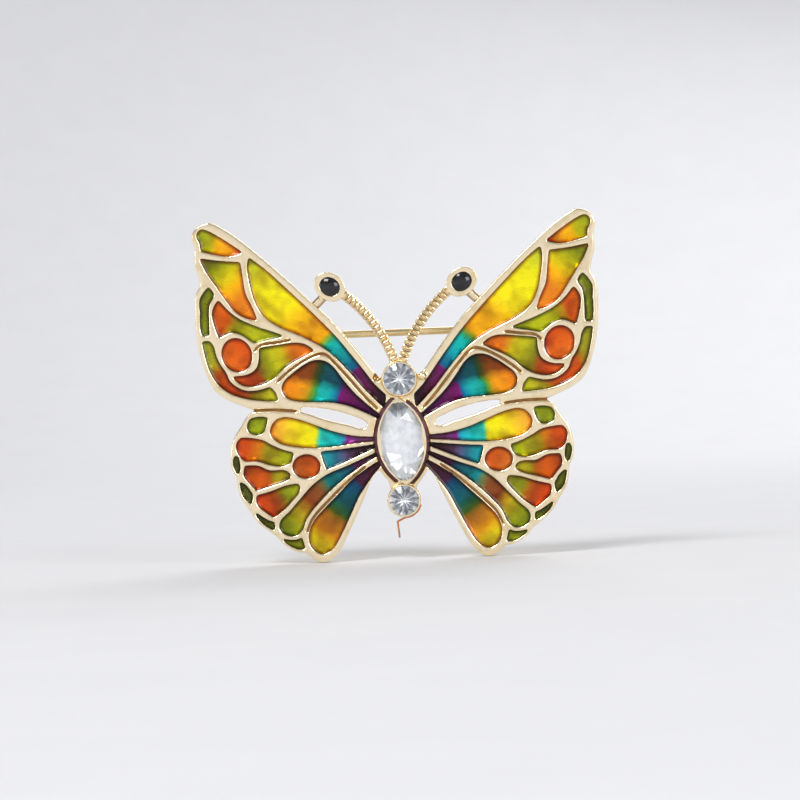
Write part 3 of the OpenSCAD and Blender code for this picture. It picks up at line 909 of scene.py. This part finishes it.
@dataclass
class RoundStone(Stone):
    """A round stone: flat table, low crown, narrow girdle and a pleated, pointed back."""

    sides: int = 12
    narrow: float = 6.0
    table: float = 0.6
    crown: float = 0.5
    girdle: float = 0.12
    back: float = 0.8
    culet: float = 0.14
    tip: float = 0.14
    clear: float = 0.02

    def space(self, piece: Object, middle: np.ndarray, radius: float) -> None:
        """Spaces the corners of the drum for wide and narrow facets by turns.

        Args:
            piece: The drum.
            middle: Middle of the stone in millimetres.
            radius: Radius of the girdle.
        """
        places = corners(piece)
        out = places[:, [0, 2]] - middle[[0, 2]] * MM
        angle = np.degrees(np.arctan2(out[:, 1], out[:, 0]))
        step = np.round(angle * self.sides / 180).astype(int)
        shift = (180 / self.sides - self.narrow) / 2 * np.where(step % 2 == 0, 1, -1)
        turned = np.radians(step * 180 / self.sides + shift)
        places[:, 0] = (middle[0] + radius * np.cos(turned)) * MM
        places[:, 2] = (middle[2] + radius * np.sin(turned)) * MM
        set_corners(piece, places)

    def draw_in(self, piece: Object, ring: np.ndarray, middle: np.ndarray, share: float) -> None:
        """Scales a ring of vertices towards the stone's axis.

        Args:
            piece: The stone.
            ring: A mask of the ring's vertices.
            middle: Middle of the stone in millimetres.
            share: What is left of the ring's radius.
        """
        places = corners(piece)
        for axis in (0, 2):
            centre = middle[axis] * MM
            places[ring, axis] = centre + (places[ring, axis] - centre) * share
        set_corners(piece, places)

    def build(self) -> Object:
        """Cuts the stone from a short drum.

        Returns:
            The stone.
        """
        low, high = self.box()
        middle = (low + high) / 2
        radius = (high[0] - low[0]) / 2 - self.clear
        front_y = low[1] + self.crown
        piece = self.drum(self.sides * 2, radius, self.girdle,
                          (middle[0], front_y + self.girdle / 2, middle[2]))
        self.space(piece, middle, radius)
        self.draw_in(piece, draw_out(piece, -1, self.crown), middle, self.table)
        self.draw_in(piece, draw_out(piece, 1, self.back * (1 - self.tip)), middle, self.culet)
        close_point(piece, 1, self.back * self.tip)

        # The narrow facets get the darker foil of painted shade.
        def narrow(face: Any) -> bool:
            """Whether a foiled facet is one of the narrow ones."""
            angle = math.degrees(math.atan2(face.center.z - middle[2] * MM, face.center.x - middle[0] * MM))
            return abs((angle * self.sides / 180 - 0.5) % 2 - 1) >= 0.5

        return self.dress(piece, front_y + self.girdle, narrow)


@dataclass
class BodyStone(Stone):
    """The boat-shaped stone of the body, with a ridge along its front, facets round it and a keel behind.

    Each of the three shapes is the share of the width and of the length that is left at that level. Above the
    middle by more than the fan's share of the length, the foil is the darker one of painted shade.
    """

    lean: float = 4.0
    length: float = 11.5
    width: float = 6.1
    girdle_y: float = -5.0
    girdle: float = 0.25
    crown: float = 0.75
    crown_shape: Point = (0.78, 0.85)
    ridge: float = 0.5
    ridge_shape: Point = (0.06, 0.7)
    keel: float = 0.7
    keel_shape: Point = (0.1, 0.7)
    corners_a_side: int = 7
    fan: float = 0.32

    def outline(self) -> np.ndarray:
        """Corners of the boat shape in x and z, about its own middle.

        Returns:
            One row for each corner, from the lower tip round.
        """
        radius = (self.length ** 2 + self.width ** 2) / (4 * self.width)
        half = math.asin(self.length / 2 / radius)
        turns = np.linspace(-half, half, self.corners_a_side + 1)[:-1]
        right = np.stack([radius * np.cos(turns) - radius + self.width / 2, radius * np.sin(turns)], axis=1)
        return np.vstack([right, -right])

    def lay(self, piece: Object, ring: np.ndarray, middle: np.ndarray, shape: Point) -> None:
        """Lays a ring of vertices on the leaning boat shape, drawn in.

        Args:
            piece: The stone.
            ring: A mask of the ring's vertices.
            middle: Middle of the stone in millimetres.
            shape: Shares of the width and of the length that are left.
        """
        outline = self.outline()
        turn = math.radians(self.lean)
        leaning = np.array([[math.cos(turn), -math.sin(turn)], [math.sin(turn), math.cos(turn)]])
        places = corners(piece)
        index = np.nonzero(ring)[0]
        angle = np.arctan2(places[index, 2], places[index, 0])
        order = np.round((angle + math.pi / 2) / (2 * math.pi / len(outline))).astype(int) % len(outline)
        flat = (outline[order] * np.array(shape)) @ leaning.T + middle[[0, 2]]
        places[index, 0] = flat[:, 0] * MM
        places[index, 2] = flat[:, 1] * MM
        set_corners(piece, places)

    def build(self) -> Object:
        """Cuts the stone from a flat drum with as many corners as the boat shape.

        Returns:
            The stone.
        """
        low, high = self.box()
        middle = (low + high) / 2
        piece = self.drum(len(self.outline()), 1, self.girdle, (0, self.girdle_y + self.girdle / 2, 0))
        for way, depth in ((-1, self.crown), (-1, self.ridge), (1, self.keel)):
            draw_out(piece, way, depth)
        y = corners(piece)[:, 1] / MM - self.girdle_y
        self.lay(piece, (y > -NEAR) & (y < self.girdle + NEAR), middle, (1.0, 1.0))
        self.lay(piece, np.abs(y + self.crown) < NEAR, middle, self.crown_shape)
        self.lay(piece, y < -self.crown - NEAR, middle, self.ridge_shape)
        self.lay(piece, y > self.girdle + NEAR, middle, self.keel_shape)
        edit(piece, bpy.ops.mesh.quads_convert_to_tris, mode="FACE")
        fan_from = (middle[2] + self.fan * self.length) * MM
        return self.dress(piece, self.girdle_y + self.girdle, lambda face: face.center.z > fan_from)


@dataclass
class Cups:
    """The cups that hold the stones and the ovals, with their lips burnished round."""

    lip: float = 0.09
    lip_angle: float = 38.0
    shading: float = 40.0
    oval_voxel: float = 0.07
    oval_tumble: int = 16

    def round_off(self, node: str, metal: Material) -> Object:
        """Bevels a copy of a cup's edges.

        Args:
            node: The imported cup.
            metal: Its material.

        Returns:
            The cup.
        """
        piece = copy_of(node, f"{node}_lip")
        ease(piece, self.lip, self.lip_angle)
        smooth(piece, self.shading)
        return settle(piece, Body.BROOCH, [node], "gold_casting", metal)

    def soften(self, side: Side, metal: Material) -> Object:
        """Rounds a copy of an oval cup and its strut all over.

        Args:
            side: Which side it is on.
            metal: Its material.

        Returns:
            The cup.
        """
        node = f"{side.label}_oval_cup"
        piece = copy_of(node, f"{node}_lip")
        apply_modifier(piece, "REMESH", mode="VOXEL", voxel_size=self.oval_voxel * MM)
        apply_modifier(piece, "SMOOTH", iterations=self.oval_tumble)
        smooth(piece)
        return settle(piece, Body.BROOCH, [node], "gold_casting", metal)

    def build(self, metal: Material) -> list[Object]:
        """Makes all five cups.

        Args:
            metal: Their material.

        Returns:
            The cups.
        """
        made = [self.round_off(node, metal) for node in ("head_cup", "body_cup", "tail_cup")]
        return made + [self.soften(side, metal) for side in Side]


# ---- antennae


@dataclass
class Antenna:
    """An antenna: a row of small square studs between notched edges, on one arc up to its oval cup."""

    side: Side
    foot: Point = (0.5, -4.1)
    tip: Point = (7.2, 5.4)
    turn: float = 34.0
    studs: int = 15
    half_width: float = 0.68
    middle_y: float = -3.6
    depth: float = 0.5
    edge: float = 0.2
    rim: float = 0.05
    sink: float = 0.06
    boss: float = 0.2
    boss_top: Place = (0.62, 0.55, 1.0)
    flat: float = 0.99
    shading: float = 28.0

    def link(self) -> Object:
        """Models one stud with its notched edges, lying along x with its front up.

        Returns:
            The stud.
        """
        deselect()
        bpy.ops.mesh.primitive_cube_add(size=1.0)
        piece = bpy.context.object
        piece.scale = (1.0, self.half_width * 2, self.depth * 2)
        activate(piece)
        bpy.ops.object.transform_apply()
        edit(piece, lambda: bpy.ops.mesh.bevel(offset=self.edge, segments=2, affect="EDGES"), mode="EDGE")
        select_faces(piece, lambda face: face.normal.z > self.flat)
        edit(piece, lambda: bpy.ops.mesh.inset(thickness=self.rim, depth=-self.sink),
             lambda: bpy.ops.mesh.extrude_region_move(TRANSFORM_OT_translate={"value": (0, 0, self.boss)}),
             lambda: bpy.ops.transform.resize(value=self.boss_top),
             mode="FACE", everything=False)
        return piece

    def build(self, metal: Material) -> Object:
        """Rows the studs up and bends them on the arc.

        Args:
            metal: The antenna's material.

        Returns:
            The antenna.
        """
        foot, tip = np.array(self.foot), np.array(self.tip)
        chord = tip - foot
        bend = np.linalg.norm(chord) / (2 * math.sin(math.radians(self.turn / 2)))
        aside = np.array([chord[1], -chord[0]]) / np.linalg.norm(chord)
        centre = (foot + tip) / 2 + bend * math.cos(math.radians(self.turn / 2)) * aside
        begin = math.atan2(tip[1] - centre[1], tip[0] - centre[0])
        piece = self.link()
        piece.name = f"{self.side.label}_antenna_studs"
        apply_modifier(piece, "ARRAY", count=self.studs, use_relative_offset=True,
                       relative_offset_displace=(1.0, 0, 0))
        places = corners(piece)
        along = places[:, 0] - places[:, 0].min()
        angle = begin + math.radians(self.turn) * along / along.max()
        arm = bend - places[:, 1]
        shaped = np.empty_like(places)
        shaped[:, 0] = (centre[0] + arm * np.cos(angle)) * self.side.value
        shaped[:, 2] = centre[1] + arm * np.sin(angle)
        shaped[:, 1] = self.middle_y - places[:, 2]
        set_corners(piece, shaped * MM)
        edit(piece, bpy.ops.mesh.normals_make_consistent)
        smooth(piece, self.shading)
        node = f"{self.side.label}_antenna"
        return settle(piece, Body.BROOCH, [node], "gold_findings", metal)


# ---- smaller fittings


@dataclass
class Fitting:
    """A made-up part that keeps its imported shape, with its edges eased and a finish of its own."""

    node: str
    body: Body
    slot: str
    edge: float = 0.08
    angle: float = 40.0

    def build(self, material: Material) -> Object:
        """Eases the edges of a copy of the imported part.

        Args:
            material: The part's material.

        Returns:
            The part.
        """
        piece = copy_of(self.node, f"{self.node}_part")
        if self.edge:
            ease(piece, self.edge, self.angle)
        smooth(piece, self.angle)
        return settle(piece, self.body, [self.node], self.slot, material)


# ---- studio


@dataclass
class Studio:
    """A pale bowl of a backdrop, soft lamps and the camera. Only floor_radius and sweep are in metres."""

    floor_z: float = -30.8
    floor_radius: float = 0.48
    sweep: float = 0.45
    sweep_rings: int = 16
    aim: Place = (-0.03, -4.2, -9.24)
    distance: float = 360.0
    lens: float = 120.0
    roll: float = 2.3
    air: str = "#f2f3f5"
    air_power: float = 0.42

    def draw(self, before: float, now: float) -> None:
        """Draws the selected rim of the floor one ring further out and up.

        Args:
            before: Turn of the sweep at the rim, in radians.
            now: Its turn at the new ring.
        """
        last, wide = (self.floor_radius + self.sweep * math.sin(turn) for turn in (before, now))
        up = self.sweep * (math.cos(before) - math.cos(now))
        bpy.ops.mesh.extrude_region_move(TRANSFORM_OT_translate={"value": (0, 0, up)})
        bpy.ops.transform.resize(value=(wide / last, wide / last, 1))

    def backdrop(self) -> None:
        """Builds the floor with its edge swept up."""
        deselect()
        bpy.ops.mesh.primitive_circle_add(vertices=96, radius=self.floor_radius, fill_type="NGON",
                                          location=(0, 0, self.floor_z * MM))
        bowl = bpy.context.object
        bowl.name = "backdrop"
        turns = [math.pi / 2 * ring / self.sweep_rings for ring in range(self.sweep_rings + 1)]
        draws = [partial(self.draw, before, now) for before, now in zip(turns, turns[1:])]
        edit(bowl, *draws, lambda: bpy.ops.mesh.delete(type="ONLY_FACE"), mode="FACE")
        edit(bowl, lambda: bpy.ops.mesh.normals_make_consistent(inside=True), mode="FACE")
        activate(bowl)
        bpy.ops.object.transform_apply(location=True, rotation=False, scale=True)
        smooth(bowl, 60)
        material, tree, shader = new_tree("matt_paper")
        grain = add_node(tree, "ShaderNodeTexNoise", {
            "Vector": millimetres(tree), "Scale": 0.07, "Detail": 3.0})
        mixed = add_node(tree, "ShaderNodeMix", {
            "Factor": grain, "A": linear("#d9d9dc"), "B": linear("#dedee0")}, data_type="RGBA")
        set_inputs(tree, shader, {"Base Color": mixed.outputs["Result"], "Roughness": 0.9})
        bowl.data.materials.append(material)

    def lamp(self, name: str, place: Place, size: Point, power: float, aim: Optional[Place] = None) -> None:
        """Hangs one soft lamp that looks at the brooch.

        Args:
            name: The lamp's name.
            place: Where it hangs, in metres.
            size: Width and height in metres.
            power: Watts.
            aim: What it looks at, in metres, or none for the brooch.
        """
        data = bpy.data.lights.new(name, "AREA")
        data.shape = "RECTANGLE"
        data.size, data.size_y = size
        data.energy = power
        lamp = bpy.data.objects.new(name, data)
        bpy.context.scene.collection.objects.link(lamp)
        lamp.location = place
        spot = Vector(aim) if aim else Vector(self.aim) * MM
        lamp.rotation_mode = "QUATERNION"
        lamp.rotation_quaternion = (spot - Vector(place)).to_track_quat("-Z", "Y")
        lamp.visible_camera = False

    def build(self) -> None:
        """Sets up backdrop, lamps, world and camera."""
        self.backdrop()
        self.lamp("key_lamp", (-0.30, -0.52, 0.66), (0.36, 0.30), 4.2)
        self.lamp("fill_lamp", (0.50, -0.58, 0.22), (0.30, 0.34), 1.6)
        self.lamp("side_lamp", (-0.64, -0.26, 0.02), (0.16, 0.36), 0.9)
        self.lamp("back_lamp", (0.25, 0.62, 0.45), (0.5, 0.4), 2.2)
        self.lamp("wall_lamp", (0.0, 0.20, 0.75), (0.8, 0.3), 0.8, aim=(0.0, 0.9, 0.05))
        world = bpy.data.worlds.new("studio_air")
        world.use_nodes = True
        set_inputs(world.node_tree, world.node_tree.nodes["Background"], {
            "Color": linear(self.air), "Strength": self.air_power})
        bpy.context.scene.world = world
        data = bpy.data.cameras.new("camera")
        data.lens = self.lens
        data.sensor_width = 36.0
        data.clip_start, data.clip_end = 0.01, 10.0
        camera = bpy.data.objects.new("camera", data)
        bpy.context.scene.collection.objects.link(camera)
        camera.location = (self.aim[0] * MM, (self.aim[1] - self.distance) * MM, self.aim[2] * MM)
        camera.rotation_euler = (math.radians(90), math.radians(self.roll), 0)
        bpy.context.scene.camera = camera
        bpy.context.scene.view_settings.view_transform = "Standard"


# ---- the brooch


def main() -> None:
    logging.basicConfig(level=logging.INFO, format="%(name)s: %(message)s")
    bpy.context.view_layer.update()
    metal = Casting().build().data.materials[0]
    EnamelCells().build()
    glass, foil = CutGlass().material(), SilverFoil().material()
    # A darker copy of the foil: painted shade on the narrow facets and the body stone's upper facets.
    crease = SilverFoil("shaded_foil", "#c6c9ce", "#8d9097", 0.5).material()
    for node in ("head_stone", "tail_stone"):
        RoundStone(node, glass, foil, crease).build()
    BodyStone("body_stone", glass, foil, crease).build()
    Cups().build(metal)
    # Painted shade: the antenna's sides take the low colour and its front the high one, by y.
    warm = PlatedMetal("antenna_gold_plate", "#fae8c0", "#c89c58", "#ecd09a", grain=0.2,
                       top_y=-4.2).material()
    for side in Side:
        Antenna(side).build(warm)
    glaze = BlackGlaze().material()
    for side in Side:
        Fitting(f"{side.label}_black_oval", Body.BROOCH, "black_stone", 0.0).build(glaze)
    # As in every PlatedMetal, what lies between top_y and deep_y gets painted shade towards the low colour.
    copper = PlatedMetal("bare_copper_wire", "#d8925f", "#8f5230", "#6e4028", rough=(0.22, 0.4)).material()
    Fitting("tail_wire", Body.BROOCH, "copper_wire", 0.0).build(copper)
    satin = PlatedMetal("satin_gold_plate", "#e2c78e", "#c6a260", "#d0b070", rough=(0.25, 0.42)).material()
    wire = PlatedMetal("drawn_wire_plate", "#e9d5a6", "#d9c08a", "#dcc690", rough=(0.12, 0.24),
                       dent_depth=0.006).material()
    Fitting("hinge_bracket", Body.BROOCH, "gold_findings").build(satin)
    Fitting("hinge_rivet", Body.BROOCH, "pin_wire", 0.06).build(wire)
    Fitting("pin_stem", Body.STEM, "pin_wire", 0.04).build(wire)
    Fitting("catch_housing", Body.BROOCH, "gold_findings").build(satin)
    Fitting("catch_lever", Body.LEVER, "gold_findings", 0.07).build(satin)
    Studio().build()


if __name__ == "__main__":
    main()
